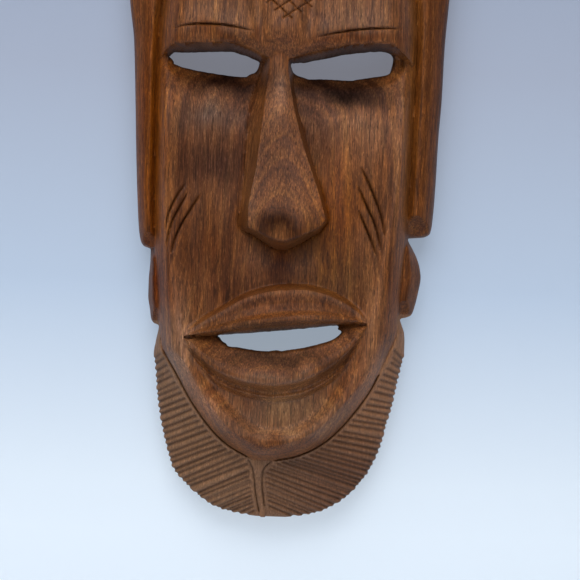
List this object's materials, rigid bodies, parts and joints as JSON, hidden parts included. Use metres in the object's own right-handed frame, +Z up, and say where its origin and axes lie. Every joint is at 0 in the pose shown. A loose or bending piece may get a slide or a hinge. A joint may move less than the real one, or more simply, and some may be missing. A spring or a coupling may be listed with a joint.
{
  "type": "carved wall mask",
  "caption": "Tall hollow-backed carved wooden wall mask with slit eyes, open mouth, ribbed beard, and a hanging ring on a screw eye behind.",
  "frame": {"origin": "centre of the wall nail that the raised hanging ring goes over, in the plane of the flat back", "axes": "+X to the right as the mask is looked at, +Z up along the mask, +Y into the wall (the face looks along -Y)"},
  "size_m": [0.157, 0.0478, 0.349],
  "materials": {
    "carved_wood": "satin, hand-polished reddish-brown hardwood",
    "brass": "slightly dull brass wire"
  },
  "bodies": {
    "mask": {"mask_body": "carved_wood", "screw_eye": "brass"},
    "ring": {"hanging_ring": "brass"}
  },
  "joints": [
    {"name": "ring_swing", "type": "hinge", "parent": "mask", "child": "ring", "pos_m": [0, -0.004, -0.018], "axis": [1, 0, 0], "range_deg": [-5, 185]}
  ]
}
